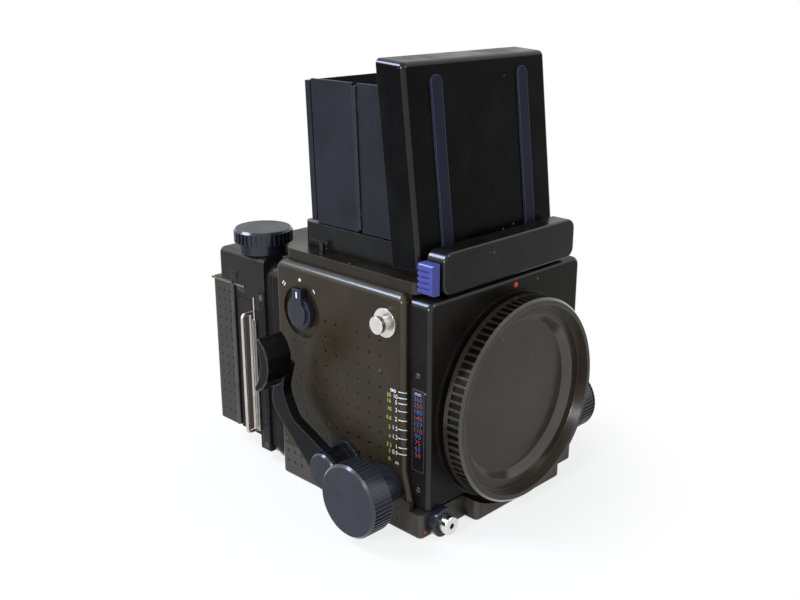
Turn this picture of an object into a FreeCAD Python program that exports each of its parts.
import FreeCAD, Part
import math
import os

import Sketcher
from FreeCAD import Placement, Rotation, Vector

# A medium format film camera: a box-form reflex with a bellows front, a standing
# waist-level hood, a cap on its lens mount and a revolving roll-film back.
# Millimetres. X is across, the lens looks along -Y, Z is up. The origin is the
# mouth of the tripod socket, on the base.

# Driving dimensions
SIZES = {
    # Body
    "body_width": 104,
    "body_height": 102.5,
    "front_reach": 39,
    "rear_reach": 39,
    "cover_thickness": 4.5,
    "cover_edge_radius": 4,
    "cover_corner_radius": 2.5,
    "seam_height": 15,
    "cover_flare": 3.4,
    "cover_flare_height": 27.5,
    "floor_height": 12,
    "foot_reach": 49,
    "foot_height": 11.2,
    "foot_nose_reach": 55.5,
    "foot_nose_left": 24.5,
    "foot_nose_right": 34,
    "base_edge_radius": 1.5,
    "axis_height": 50,
    "chamber_width": 72,
    "chamber_floor": 25,
    "chamber_ceiling": 96,
    "chamber_reach": 33.5,
    "rear_window_floor": 15,
    "rear_window_top": 85,
    "rear_window_front": 5,
    # Front standard and lens mount
    "standard_width": 97.5,
    "standard_depth": 10.6,
    "standard_bottom": 13,
    "standard_top": 101,
    "standard_play": 0.4,
    "standard_edge_radius": 2.2,
    "standard_top_radius": 4,
    "standard_cavity_depth": 6,
    "boss_radius": 45.2,
    "boss_thickness": 1.2,
    "boss_body_radius": 44,
    "boss_fit": 0.05,
    "channel_play": 2,
    "throat_radius": 30.5,
    "mount_radius": 37,
    "mount_seat_depth": 3,
    "mount_stand_out": 2.4,
    "mount_gap_depth": 2,
    "mount_gap_width": 14,
    "mount_gap_count": 3,
    "focus_travel": 46,
    # Body cap
    "cap_radius": 44.2,
    "cap_front_reach": 62.4,
    "cap_rear_reach": 53.4,
    "cap_rim_width": 2.8,
    "cap_floor_thickness": 1.6,
    "cap_play": 0.2,
    "cap_disc_radius": 33.4,
    "cap_step_radius": 40.2,
    "cap_step_width": 4.4,
    "cap_step_reach": 57.8,
    "cap_collar_depth": 4,
    "cap_collar_wall": 1.8,
    "cap_collar_play": 0.4,
    "cap_chamfer": 1,
    "cap_knurl_depth": 0.7,
    "cap_knurl_width": 2.3,
    "cap_knurl_start": 2,
    "cap_knurl_count": 84,
    # Bellows
    "bellows_width": 79,
    "bellows_height": 68,
    "bellows_fold": 3,
    "bellows_pleats": 4,
    "bellows_wall": 0.8,
    "bellows_recess": 4.6,
    "bellows_play": 0.5,
    # Focusing drive
    "focus_shaft_radius": 3,
    "shaft_play": 0.08,
    "focus_shaft_setback": 30.5,
    "focus_shaft_height": 20,
    "pinion_radius": 5.6,
    "tooth_depth": 1.2,
    "tooth_play": 0.3,
    "pinion_teeth": 14,
    "rack_offset": 43.5,
    "rack_width": 4.6,
    "rack_height": 6,
    "rack_overrun": 3.5,
    "rack_play": 0.4,
    "focus_knob_radius": 15.6,
    "focus_knob_reach": 75.4,
    "focus_knob_grip": 10.4,
    "focus_knob_neck_radius": 8,
    "focus_knob_cover": 4,
    "knob_gap": 0.3,
    "knob_chamfer": 1,
    "knob_knurl_depth": 0.6,
    "knob_knurl_width": 1.4,
    "focus_knurl_count": 54,
    # Cocking lever
    "lever_setback": 5,
    "lever_height": 20,
    "lever_hub_radius": 8.5,
    "lever_flange_radius": 11,
    "lever_flange_thickness": 2,
    "lever_pin_radius": 3,
    "lever_pin_depth": 14,
    "lever_gap": 0.4,
    "lever_hub_width": 9.6,
    "lever_cap_thickness": 2,
    "lever_arm_thickness": 4.6,
    "lever_cap_chamfer": 0.8,
    "lever_root_half_width": 8.2,
    "lever_root_tilt": -50,
    "lever_elbow_rear": 28,
    "lever_elbow_rise": 19,
    "lever_elbow_half_width": 7,
    "lever_elbow_tilt": 11.5,
    "lever_neck_rear": 30.2,
    "lever_neck_rise": 29.3,
    "lever_neck_half_width": 3,
    "lever_neck_tilt": 5.7,
    "lever_tip_rear": 25.7,
    "lever_tip_rise": 42.5,
    "lever_tip_half_width": 2.4,
    "lever_tip_tilt": 12.3,
    "lever_arm_bend": 9,
    "paddle_inner": 61.5,
    "paddle_outer": 74.4,
    "paddle_centre_rear": 41.6,
    "paddle_centre_rise": 43.5,
    "paddle_bend_radius": 15.7,
    "paddle_tilt": -6,
    "paddle_sweep": 49,
    "paddle_half_thickness": 2.8,
    "paddle_tip_half_thickness": 1.1,
    "lever_edge_radius": 0.7,
    # Mode selector and shutter dial
    "selector_forward": 22,
    "selector_height": 81.8,
    "selector_recess_radius": 11.7,
    "selector_recess_depth": 1.6,
    "selector_disc_radius": 7.4,
    "selector_disc_thickness": 3,
    "selector_hub_radius": 5.2,
    "selector_hub_rise": 1,
    "selector_handle_length": 10.8,
    "selector_handle_width": 5.6,
    "selector_gap": 0.2,
    "spindle_radius": 2,
    "spindle_depth": 6,
    "spindle_end_play": 1,
    "dial_forward": 18,
    "dial_height": 80,
    "dial_radius": 13,
    "dial_thickness": 7,
    "dial_chamfer": 0.8,
    "dial_knurl_count": 36,
    # Shutter release
    "release_offset": 42,
    "release_height": 6.2,
    "release_collar_radius": 6.2,
    "release_collar_reach": 52.7,
    "release_button_radius": 4,
    "release_button_reach": 57.1,
    "release_stem_length": 14,
    "release_travel": 2.4,
    "release_play": 0.2,
    "release_overrun": 1,
    "release_collar_gap": 0.1,
    "release_collar_play": 0.25,
    "release_button_chamfer": 0.4,
    "cable_socket_radius": 1.25,
    "cable_socket_depth": 5,
    # Strap lugs, tripod socket, battery cover, accessory shoe
    "lug_setback": 30,
    "lug_height": 90,
    "lug_flange_radius": 6,
    "lug_flange_thickness": 1.5,
    "lug_neck_radius": 2.4,
    "lug_head_radius": 3.6,
    "lug_head_thickness": 2,
    "lug_stand_out": 6,
    "tripod_bore_radius": 4.76,
    "tripod_bush_radius": 9,
    "tripod_bore_depth": 8,
    "battery_cover_radius": 11,
    "battery_cover_offset": 30,
    "battery_cover_thickness": 2.5,
    "battery_slot_width": 1.6,
    "battery_slot_length": 13.2,
    "battery_slot_depth": 1.25,
    "shoe_width": 22,
    "shoe_length": 20,
    "shoe_thickness": 1.6,
    "shoe_gap": 2.4,
    "shoe_lip": 3.2,
    "shoe_height": 38,
    # Finder base and name housing
    "finder_plate_width": 96,
    "finder_plate_reach": 42,
    "finder_plate_rear": 37.4,
    "finder_plate_thickness": 4.8,
    "finder_plate_corner_radius": 4,
    "screen_half_width": 34,
    "screen_front": 33,
    "screen_rear": 27,
    "screen_margin": 1.4,
    "screen_thickness": 1.8,
    "screen_play": 0.2,
    "screen_side_play": 0.2,
    "stop_pin_offset": 43.8,
    "stop_pin_setback": 17,
    "stop_pin_radius": 1.1,
    "stop_pin_height": 4.6,
    "housing_half_width": 42,
    "housing_reach": 51,
    "housing_bottom": 102.3,
    "housing_top": 119.4,
    "housing_rear": 39.8,
    "housing_corner_radius": 4.5,
    "housing_edge_radius": 1,
    "housing_tongue_drop": 1,
    "finder_button_width": 4.2,
    "finder_button_height": 12.4,
    "finder_button_bottom": 103.4,
    "finder_button_gap": 1.4,
    "finder_button_depth": 7.6,
    "finder_button_setback": 0.3,
    "finder_button_corner_radius": 1.4,
    "finder_groove_depth": 0.8,
    "finder_groove_margin": 1.6,
    "finder_groove_count": 4,
    "finder_stem_radius": 1.5,
    "finder_stem_depth": 5.4,
    "finder_stem_play": 0.2,
    "finder_stem_end_play": 1.6,
    # Hood
    "hood_base_half_width": 41.5,
    "hood_base_front": 36,
    "hood_base_rear": 31.5,
    "hood_base_top": 119,
    "hood_base_corner_radius": 4,
    "hood_base_groove": 1.6,
    "hood_base_groove_depth": 1,
    "hood_opening_half_width": 36,
    "hood_opening_front": 31,
    "hood_opening_rear": 27.5,
    "lid_lean": 6.64,
    "lid_foot_reach": 38.85,
    "lid_foot_height": 111,
    "lid_half_width": 43.3,
    "lid_length": 78.3,
    "lid_depth": 14.1,
    "lid_top_rise": 2.6,
    "lid_wall": 1.1,
    "lid_pin_inset": 5.4,
    "lid_pin_rise": 3.6,
    "lid_pin_radius": 1.2,
    "lid_edge_radius": 2.4,
    "lid_rib_offset": 26.3,
    "lid_rib_width": 6,
    "lid_rib_rise": 0.9,
    "lid_rib_bottom": 4,
    "lid_rib_margin": 5.3,
    "wall_sheet": 1.2,
    "wall_face": 41.2,
    "wall_bottom": 119.6,
    "wall_top": 179.3,
    "wall_gap": 0.35,
    "front_hinge_y": -30.1,
    "rear_hinge_y": 22.3,
    "wall_lean": 2.5,
    "wall_hinge_inset": 2.2,
    "post_radius": 0.9,
    "hinge_barrel_radius": 1.1,
    "hinge_pin_radius": 0.5,
    "knuckle_length": 3.4,
    "knuckle_inset": 8.6,
    "knuckle_web": 1,
    "rear_panel_offset": 4.1,
    "rear_panel_drop": 0.8,
    "rear_panel_overlap": 0.1,
    "magnifier_half_width": 17,
    "magnifier_length": 40,
    "magnifier_plate": 2.2,
    "magnifier_barrel_radius": 1.4,
    "magnifier_ear_width": 2,
    "magnifier_corner_radius": 5,
    "magnifier_stand_off": 0.5,
    "magnifier_lens_radius": 14.5,
    "magnifier_lens_inset": 0.2,
    "magnifier_hinge_setback": 5.8,
    # Reflex mirror
    "mirror_hinge_y": 26,
    "mirror_hinge_height": 77,
    "mirror_floor_clearance": 6.75,
    "mirror_half_width": 33,
    "mirror_holder_thickness": 2.4,
    "mirror_glass_thickness": 1.8,
    "mirror_pin_radius": 1.5,
    "mirror_pin_length": 2.6,
    "mirror_play": 0.4,
    "mirror_margin": 2,
    "mirror_angle": 45,
    # Revolving adapter
    "adapter_half_width": 49.8,
    "adapter_bottom": 2,
    "adapter_top": 98,
    "adapter_play": 0.4,
    "adapter_rear": 50,
    "adapter_step_reach": 44.2,
    "adapter_step": 0.9,
    "adapter_edge_radius": 1.8,
    "adapter_corner_radius": 8,
    "adapter_window": 72,
    "adapter_ring_radius": 47,
    "adapter_ring_wall": 2.4,
    "adapter_ring_depth": 1.2,
    "ring_play": 0.3,
    # Film back
    "back_half_width": 49.8,
    "back_front": 50.2,
    "back_frame_rear": 57.3,
    "back_frame_bottom": 5,
    "gate_wall_rear": 62,
    "back_bottom": 11.5,
    "back_split": 73,
    "back_shoulder": 84.5,
    "back_top": 99.2,
    "back_upper_rear": 84.4,
    "back_door_rear": 90.3,
    "back_wall": 2,
    "back_edge_radius": 3,
    "back_door_radius": 3,
    "gate_half_width": 34.8,
    "gate_bottom": 22,
    "gate_top": 78,
    "film_gap": 0.5,
    "film_room_half_width": 47.4,
    "film_carrier_half_width": 36.5,
    "door_hinge_radius": 1.2,
    "door_hinge_play": 0.1,
    "door_gap": 0.2,
    "door_hinge_outset": 0.3,
    "door_hinge_margin": 1,
    "latch_length": 22,
    "latch_margin": 2,
    "latch_gap": 0.2,
    "latch_width": 5,
    "latch_thickness": 2,
    "spool_offset": 34,
    "spool_setback": 76.2,
    "spool_core_radius": 6,
    "spool_flange_radius": 11.6,
    "spool_flange_thickness": 1.2,
    "spool_length": 64,
    "spool_bottom": 13.8,
    "pressure_plate_thickness": 1.4,
    "winder_offset": 40,
    "winder_setback": 61.8,
    "winder_radius": 13.4,
    "winder_top": 110.4,
    "winder_grip": 6.2,
    "winder_collar_radius": 11.4,
    "winder_knurl_count": 36,
    "winder_spindle_depth": 10,
    # Dark slide
    "slide_thickness": 0.8,
    "slide_setback": 57.9,
    "slide_bottom": 14.4,
    "slide_top": 79.6,
    "slide_reach": 38,
    "slide_play": 0.3,
    "slide_tab_bottom": 14,
    "slide_tab_top": 69,
    "slide_tab_depth": 4,
    "slide_tab_thickness": 0.9,
    "loop_wire_radius": 0.9,
    "loop_inner_radius": 0.7,
    "loop_reach": 6.4,
    "loop_bend": 1.6,
    "loop_gap": 0.3,
    "loop_bottom": 13.8,
    "loop_top": 73.6,
}

PLANE_SIDE = {"XY": 1, "XZ": -1, "YZ": 1}
AXES = {"X": Vector(1, 0, 0), "Y": Vector(0, 1, 0), "Z": Vector(0, 0, 1)}

doc = FreeCAD.newDocument("medium_format_camera")
sheet = doc.addObject("Spreadsheet::Sheet", "Sizes")


class Size:
    """A length, count or angle, together with the sheet's formula for it."""

    def __init__(self, value, formula):
        self.value = value
        self.formula = formula

    def __add__(self, other):
        other = as_size(other)
        return Size(self.value + other.value, f"({self.formula} + {other.formula})")

    def __sub__(self, other):
        other = as_size(other)
        return Size(self.value - other.value, f"({self.formula} - {other.formula})")

    def __mul__(self, other):
        other = as_size(other)
        return Size(self.value * other.value, f"({self.formula} * {other.formula})")

    def __truediv__(self, other):
        other = as_size(other)
        return Size(self.value / other.value, f"({self.formula} / {other.formula})")

    def __radd__(self, other):
        return as_size(other) + self

    def __rsub__(self, other):
        return as_size(other) - self

    def __rmul__(self, other):
        return as_size(other) * self

    def __neg__(self):
        return as_size(0) - self


def as_size(number):
    if isinstance(number, Size):
        return number
    return Size(float(number), f"({number})")


def min_size(first, second):
    first, second = as_size(first), as_size(second)
    return first if first.value < second.value else second


def max_size(first, second):
    first, second = as_size(first), as_size(second)
    return second if first.value < second.value else first


def at_sizes(across, up):
    return Vector(across.value, up.value, 0)


def tangent(angle):
    return Size(math.tan(math.radians(angle.value)), f"tan({angle.formula})")


def cosine(angle):
    return Size(math.cos(math.radians(angle.value)), f"cos({angle.formula})")


def sine(angle):
    return Size(math.sin(math.radians(angle.value)), f"sin({angle.formula})")


class Dimensions:
    """The sheet's sizes by name."""

    def __init__(self, sizes):
        for row, (name, value) in enumerate(sizes.items(), start=1):
            sheet.set(f"A{row}", name)
            sheet.set(f"B{row}", str(value))
            sheet.setAlias(f"B{row}", name)
            setattr(self, name, Size(float(value), f"Sizes.{name}"))


d = Dimensions(SIZES)
doc.recompute()
sub_parts = []
cuts = []


def set_size(feature, name, size):
    """Sets one property to a size and ties it to the sheet."""
    size = as_size(size)
    if "." not in name and not name.startswith("Constraints"):
        setattr(feature, name, size.value)
    feature.setExpression(name, size.formula)


def new_body(label, at=(0, 0, 0), towards=None, lean=None):
    """A sub-part whose own Z axis points `towards`, or leans back about X."""
    body = doc.addObject("PartDesign::Body", label)
    body.Label = label
    at = [as_size(value) for value in at]
    turned = Rotation()
    if towards is not None:
        turned = Rotation(AXES["Z"], Vector(*towards))
    if lean is not None:
        turned = Rotation(Vector(-1, 0, 0), as_size(lean).value)
    body.Placement = Placement(Vector(*[value.value for value in at]), turned)
    for letter, value in zip("xyz", at):
        body.setExpression(f"Placement.Base.{letter}", value.formula)
    if lean is not None:
        body.setExpression("Placement.Rotation.Angle", as_size(lean).formula)
    sub_parts.append(body)
    return body


def origin_feature(body, role):
    return next(item for item in body.Origin.OriginFeatures if item.Role == role)


def circle(across, up, radius):
    return {"centre": (as_size(across), as_size(up)), "radius": as_size(radius)}


def box(left, bottom, right, top):
    return [(left, bottom), (right, bottom), (right, top), (left, top)]


def slot(across, low, high, width):
    """A straight slot or rib with round ends, upright in its sketch."""
    return {"ends": (as_size(across), as_size(low), as_size(high)), "radius": as_size(width) / 2}


def rounded(left, bottom, right, top, radius):
    """A rectangle with round corners."""
    sides = [as_size(size) for size in (left, bottom, right, top)]
    return {"sides": sides, "radius": as_size(radius)}


def pin(sketch, kind, geometry, end, size):
    """Holds one point of a sketch at a distance across or up from the origin."""
    rule = Sketcher.Constraint(kind, -1, 1, geometry, end, size.value)
    sketch.setExpression(f"Constraints[{sketch.addConstraint(rule)}]", size.formula)


def pin_point(sketch, geometry, end, across, up):
    pin(sketch, "DistanceX", geometry, end, across)
    pin(sketch, "DistanceY", geometry, end, up)


def add_circle(sketch, loop):
    across, up = loop["centre"]
    centre = Vector(across.value, up.value, 0)
    ring = sketch.addGeometry(Part.Circle(centre, AXES["Z"], loop["radius"].value))
    pin_point(sketch, ring, 3, across, up)
    rule = sketch.addConstraint(Sketcher.Constraint("Radius", ring, loop["radius"].value))
    sketch.setExpression(f"Constraints[{rule}]", loop["radius"].formula)


def add_slot(sketch, loop):
    across, low, high = loop["ends"]
    radius = loop["radius"]
    lower = Part.Circle(Vector(across.value, low.value, 0), AXES["Z"], radius.value)
    upper = Part.Circle(Vector(across.value, high.value, 0), AXES["Z"], radius.value)
    left, right = across - radius, across + radius
    ids = [
        sketch.addGeometry(Part.ArcOfCircle(lower, math.pi, 2 * math.pi)),
        sketch.addGeometry(
            Part.LineSegment(
                Vector(right.value, low.value, 0), Vector(right.value, high.value, 0)
            )
        ),
        sketch.addGeometry(Part.ArcOfCircle(upper, 0, math.pi)),
        sketch.addGeometry(
            Part.LineSegment(
                Vector(left.value, high.value, 0), Vector(left.value, low.value, 0)
            )
        ),
    ]
    for position, first in enumerate(ids):
        following = ids[(position + 1) % 4]
        sketch.addConstraint(Sketcher.Constraint("Coincident", first, 2, following, 1))
    pin(sketch, "DistanceY", ids[0], 3, low)
    pin(sketch, "DistanceY", ids[2], 3, high)
    pin_point(sketch, ids[1], 1, right, low)
    pin_point(sketch, ids[1], 2, right, high)
    pin_point(sketch, ids[3], 1, left, high)
    pin_point(sketch, ids[3], 2, left, low)


def add_rounded(sketch, loop):
    left, bottom, right, top = loop["sides"]
    radius = loop["radius"]
    near, far = left + radius, right - radius
    low, high = bottom + radius, top - radius
    lines = [
        ((near, bottom), (far, bottom)),
        ((right, low), (right, high)),
        ((far, top), (near, top)),
        ((left, high), (left, low)),
    ]
    line_ids = []
    for start, end in lines:
        line = Part.LineSegment(at_sizes(*start), at_sizes(*end))
        line_ids.append(sketch.addGeometry(line))
        pin_point(sketch, line_ids[-1], 1, *start)
        pin_point(sketch, line_ids[-1], 2, *end)
    centres = [(far, low), (far, high), (near, high), (near, low)]
    for number, centre in enumerate(centres):
        start = (number - 1) * math.pi / 2
        ring = Part.Circle(at_sizes(*centre), AXES["Z"], radius.value)
        arc = sketch.addGeometry(Part.ArcOfCircle(ring, start, start + math.pi / 2))
        following = line_ids[(number + 1) % 4]
        sketch.addConstraint(Sketcher.Constraint("Coincident", line_ids[number], 2, arc, 1))
        sketch.addConstraint(Sketcher.Constraint("Coincident", arc, 2, following, 1))
        pin(sketch, "DistanceX", arc, 3, centre[0])


def add_polygon(sketch, loop):
    points = [(as_size(across), as_size(up)) for across, up in loop]
    count = len(points)
    ends = [Vector(across.value, up.value, 0) for across, up in points]
    lines = [Part.LineSegment(ends[i], ends[(i + 1) % count]) for i in range(count)]
    ids = [sketch.addGeometry(line) for line in lines]
    for i, line in enumerate(ids):
        following = ids[(i + 1) % count]
        sketch.addConstraint(Sketcher.Constraint("Coincident", line, 2, following, 1))
        pin_point(sketch, line, 1, *points[i])


def draw(body, plane, level, loops):
    """A sketch at one level of a plane of the sub-part's own origin."""
    sketch = body.newObject("Sketcher::SketchObject", "Sketch")
    sketch.AttachmentSupport = (origin_feature(body, plane + "_Plane"), [""])
    sketch.MapMode = "FlatFace"
    offset = as_size(level) * PLANE_SIDE[plane]
    sketch.AttachmentOffset = Placement(Vector(0, 0, offset.value), Rotation())
    sketch.setExpression("AttachmentOffset.Base.z", offset.formula)
    for loop in loops:
        if isinstance(loop, list):
            add_polygon(sketch, loop)
        elif "ends" in loop:
            add_slot(sketch, loop)
        elif "sides" in loop:
            add_rounded(sketch, loop)
        else:
            add_circle(sketch, loop)
    return sketch


def pad(body, plane, low, high, *loops):
    """Adds a straight block between two levels of a plane."""
    low, high = as_size(low), as_size(high)
    start = low if PLANE_SIDE[plane] > 0 else high
    feature = body.newObject("PartDesign::Pad", "Pad")
    feature.Profile = draw(body, plane, start, loops)
    set_size(feature, "Length", high - low)
    body.Tip = feature
    return feature


def cut(body, plane, low, high, *loops):
    """Cuts a straight hole between two levels of a plane."""
    low, high = as_size(low), as_size(high)
    start = high if PLANE_SIDE[plane] > 0 else low
    feature = body.newObject("PartDesign::Pocket", "Pocket")
    feature.Profile = draw(body, plane, start, loops)
    set_size(feature, "Length", high - low)
    body.Tip = feature
    cuts.append(feature)
    return feature


def turn(body, *loops):
    """Turns an outline of radius and height about the sub-part's own Z axis."""
    sketch = draw(body, "XZ", 0, loops)
    feature = body.newObject("PartDesign::Revolution", "Revolution")
    feature.Profile = sketch
    feature.ReferenceAxis = (sketch, ["V_Axis"])
    feature.Angle = 360
    body.Tip = feature
    return feature


def repeat_around(body, feature, count):
    """Repeats a feature evenly round the sub-part's own Z axis."""
    pattern = body.newObject("PartDesign::PolarPattern", "PolarPattern")
    pattern.Originals = [feature]
    pattern.Axis = (origin_feature(body, "Z_Axis"), [""])
    pattern.Angle = 360
    pattern.Occurrences = int(as_size(count).value)
    pattern.setExpression("Occurrences", as_size(count).formula)
    body.Tip = pattern
    return pattern


def repeat_along(body, feature, axis, length, count):
    """Repeats a feature evenly along one of the sub-part's own axes."""
    pattern = body.newObject("PartDesign::LinearPattern", "LinearPattern")
    pattern.Originals = [feature]
    pattern.Direction = (origin_feature(body, axis + "_Axis"), [""])
    set_size(pattern, "Length", length)
    pattern.Occurrences = count
    body.Tip = pattern
    return pattern


def is_along(edge, axis):
    if edge.Curve.TypeId != "Part::GeomLine":
        return False
    return abs(edge.Curve.Direction.dot(AXES[axis])) > 0.999


def edges_at(axis, **places):
    """Chooses straight edges along one axis whose middles lie at given places."""
    wanted = {letter: as_size(place).value for letter, place in places.items()}

    def chosen(edge):
        middle = edge.CenterOfMass
        near = all(abs(getattr(middle, k) - v) < 0.02 for k, v in wanted.items())
        return is_along(edge, axis) and near

    return chosen


def round_off(body, radius, *choosers):
    """Rounds the edges that any of the choosers accepts."""
    doc.recompute()
    base = body.Tip
    names = [
        f"Edge{number}"
        for number, edge in enumerate(base.Shape.Edges, start=1)
        if any(chosen(edge) for chosen in choosers)
    ]
    feature = body.newObject("PartDesign::Fillet", "Fillet")
    feature.Base = (base, names)
    set_size(feature, "Radius", radius)
    body.Tip = feature
    return feature


# Places that several pieces share
SIDE = d.body_width / 2
CORE_SIDE = SIDE - d.cover_thickness
STANDARD_REAR = d.front_reach + d.standard_play
STANDARD_FRONT = STANDARD_REAR + d.standard_depth
STANDARD_SIDE = d.standard_width / 2
BOSS_FRONT = STANDARD_FRONT + d.boss_thickness
MOUNT_FRONT = STANDARD_FRONT + d.mount_stand_out
CHAMBER_SIDE = d.chamber_width / 2
FINDER_TOP = d.body_height + d.finder_plate_thickness
SHAFT_PLAY = d.shaft_play
SHAFT_Y = -d.focus_shaft_setback
RACK_BOTTOM = d.focus_shaft_height + d.pinion_radius - d.tooth_depth
RACK_TOP = RACK_BOTTOM + d.rack_height
RACK_REAR = d.focus_travel + d.rack_overrun - d.focus_shaft_setback
TOOTH_PITCH = (d.pinion_radius - d.tooth_depth / 2) / d.pinion_teeth * (2 * math.pi)
CAVITY_FRONT = -STANDARD_REAR - d.standard_cavity_depth
BELLOWS_SIDE = d.bellows_width / 2
BELLOWS_TOP = d.axis_height + d.bellows_height / 2
BELLOWS_BOTTOM = d.axis_height - d.bellows_height / 2
FINDER_STEM_END = d.finder_stem_depth - d.housing_half_width
LEVER_Y = -d.lever_setback
LEVER_HUB_END = -SIDE - d.lever_flange_thickness - d.lever_gap - d.lever_hub_width
RING_SEAT_DEPTH = d.adapter_ring_depth + d.ring_play
WALL_HEIGHT = d.wall_top - d.wall_bottom
WALL_MIDDLE = (d.front_hinge_y + d.rear_hinge_y) / 2
WALL_REACH = (d.rear_hinge_y - d.front_hinge_y) / 2
WALL_AXIS_X = d.wall_face - d.wall_hinge_inset
MAGNIFIER_AXIS = d.lid_wall + d.magnifier_stand_off + d.magnifier_barrel_radius
MAGNIFIER_HEIGHT = d.lid_length - d.magnifier_hinge_setback
MIRROR_DROP = d.mirror_hinge_height - d.chamber_floor - d.mirror_floor_clearance
MIRROR_LENGTH = MIRROR_DROP / sine(d.mirror_angle)
DOOR_HINGE_X = -d.back_half_width - d.door_hinge_outset
DOOR_HINGE_Y = d.back_split + d.door_gap / 2


# Body


def ring_seat():
    """The round seat of the adapter's bearing ring."""
    return circle(0, d.axis_height, d.adapter_ring_radius + d.ring_play)


def main_body():
    """The light box: mirror chamber, film window and the tunnels for the focusing drive."""
    body = new_body("main_body")
    outline = box(-CORE_SIDE, -d.front_reach, CORE_SIDE, d.rear_reach)
    pad(body, "XY", d.floor_height, d.body_height, outline)
    chamber = box(-CHAMBER_SIDE, -d.chamber_reach, CHAMBER_SIDE, d.chamber_reach)
    cut(body, "XY", d.chamber_floor, d.chamber_ceiling, chamber)
    window = box(-d.screen_half_width, -d.screen_front, d.screen_half_width, d.screen_rear)
    cut(body, "XY", d.chamber_ceiling, d.body_height, window)
    film_window = box(-CHAMBER_SIDE, d.rear_window_floor, CHAMBER_SIDE, d.rear_window_top)
    cut(body, "XZ", d.rear_window_front, d.rear_reach, film_window)
    recess_side = BELLOWS_SIDE + d.bellows_play
    recess_low, recess_high = BELLOWS_BOTTOM - d.bellows_play, BELLOWS_TOP + d.bellows_play
    recess = box(-recess_side, recess_low, recess_side, recess_high)
    recess_floor = d.bellows_recess - d.front_reach
    cut(body, "XZ", -d.front_reach, recess_floor, recess)
    inner = BELLOWS_SIDE - d.bellows_fold
    front_window = box(-inner, d.chamber_floor, inner, BELLOWS_TOP - d.bellows_fold)
    cut(body, "XZ", recess_floor, -d.chamber_reach, front_window)
    cut(body, "XZ", d.rear_reach - RING_SEAT_DEPTH, d.rear_reach, ring_seat())
    half = d.rack_width / 2 + d.rack_play
    for side in (-1, 1):
        middle = d.rack_offset * side
        low, high = middle - half, middle + half
        track = box(low, RACK_BOTTOM - d.rack_play, high, RACK_TOP + d.rack_play)
        track_end = RACK_REAR + d.rack_play
        cut(body, "XZ", -d.front_reach, track_end, track)
        pocket = circle(SHAFT_Y, d.focus_shaft_height, d.pinion_radius + d.rack_play)
        cut(body, "YZ", low, high, pocket)
    tunnel = circle(SHAFT_Y, d.focus_shaft_height, d.focus_shaft_radius + SHAFT_PLAY)
    cut(body, "YZ", -CORE_SIDE, CORE_SIDE, tunnel)
    lever_bore = circle(LEVER_Y, d.lever_height, d.lever_pin_radius)
    cut(body, "YZ", -CORE_SIDE, d.lever_pin_depth - SIDE, lever_bore)
    pin_side = CHAMBER_SIDE + d.mirror_pin_length + d.mirror_play
    trunnion_radius = d.mirror_pin_radius + SHAFT_PLAY
    trunnion = circle(d.mirror_hinge_y, d.mirror_hinge_height, trunnion_radius)
    cut(body, "YZ", -pin_side, pin_side, trunnion)
    for x, forward, height in (
        (-1, d.selector_forward, d.selector_height),
        (1, d.dial_forward, d.dial_height),
    ):
        spindle = circle(forward, height, d.spindle_radius + SHAFT_PLAY)
        reach = CORE_SIDE * x
        deep = (SIDE - d.spindle_depth - d.selector_recess_depth - d.spindle_end_play) * x
        low, high = (reach, deep) if x < 0 else (deep, reach)
        cut(body, "YZ", low, high, spindle)
    return body


def side_cover(label, side):
    """A moulded side wall with rounded edges, flared forwards at its foot."""
    body = new_body(label)
    inner, outer = CORE_SIDE * side, SIDE * side
    low, high = (inner, outer) if side > 0 else (outer, inner)
    front = -d.front_reach
    flare = front - d.cover_flare
    outline = [
        (flare, d.seam_height),
        (d.rear_reach, d.seam_height),
        (d.rear_reach, d.body_height),
        (front, d.body_height),
        (front, d.cover_flare_height),
    ]
    pad(body, "YZ", low, high, outline)

    def front_edge(edge):
        bounds = edge.BoundBox
        outside = bounds.XLength < 0.01 and abs(bounds.XMin - outer.value) < 0.01
        return outside and bounds.YMax < front.value + 0.01 and bounds.ZLength > 1

    top_edge = edges_at("Y", x=outer, z=d.body_height)
    rear_edge = edges_at("Z", x=outer, y=d.rear_reach)
    round_off(body, d.cover_corner_radius, front_edge, rear_edge)
    round_off(body, d.cover_edge_radius, top_edge)
    clear_side = (STANDARD_SIDE + d.standard_play) * side
    near, far = (inner, clear_side) if side > 0 else (clear_side, inner)
    cut(body, "XY", d.seam_height, d.cover_flare_height, box(near, flare, far, front))
    shaft_hole = circle(SHAFT_Y, d.focus_shaft_height, d.focus_shaft_radius + SHAFT_PLAY)
    cut(body, "YZ", low, high, shaft_hole)
    return body


def right_cover():
    body = side_cover("right_cover", -1)
    recess = circle(d.selector_forward, d.selector_height, d.selector_recess_radius)
    cut(body, "YZ", -SIDE, d.selector_recess_depth - SIDE, recess)
    spindle = circle(d.selector_forward, d.selector_height, d.spindle_radius + SHAFT_PLAY)
    cut(body, "YZ", -SIDE, -CORE_SIDE, spindle)
    lever_bore = circle(LEVER_Y, d.lever_height, d.lever_pin_radius)
    cut(body, "YZ", -SIDE, -CORE_SIDE, lever_bore)
    return body


def left_cover():
    body = side_cover("left_cover", 1)
    spindle = circle(d.dial_forward, d.dial_height, d.spindle_radius + SHAFT_PLAY)
    cut(body, "YZ", CORE_SIDE, SIDE, spindle)
    return body


def mount_channel():
    """The round hollow in which the lens mount's boss moves over the foot."""
    return circle(0, d.axis_height, d.boss_radius + d.channel_play)


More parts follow.
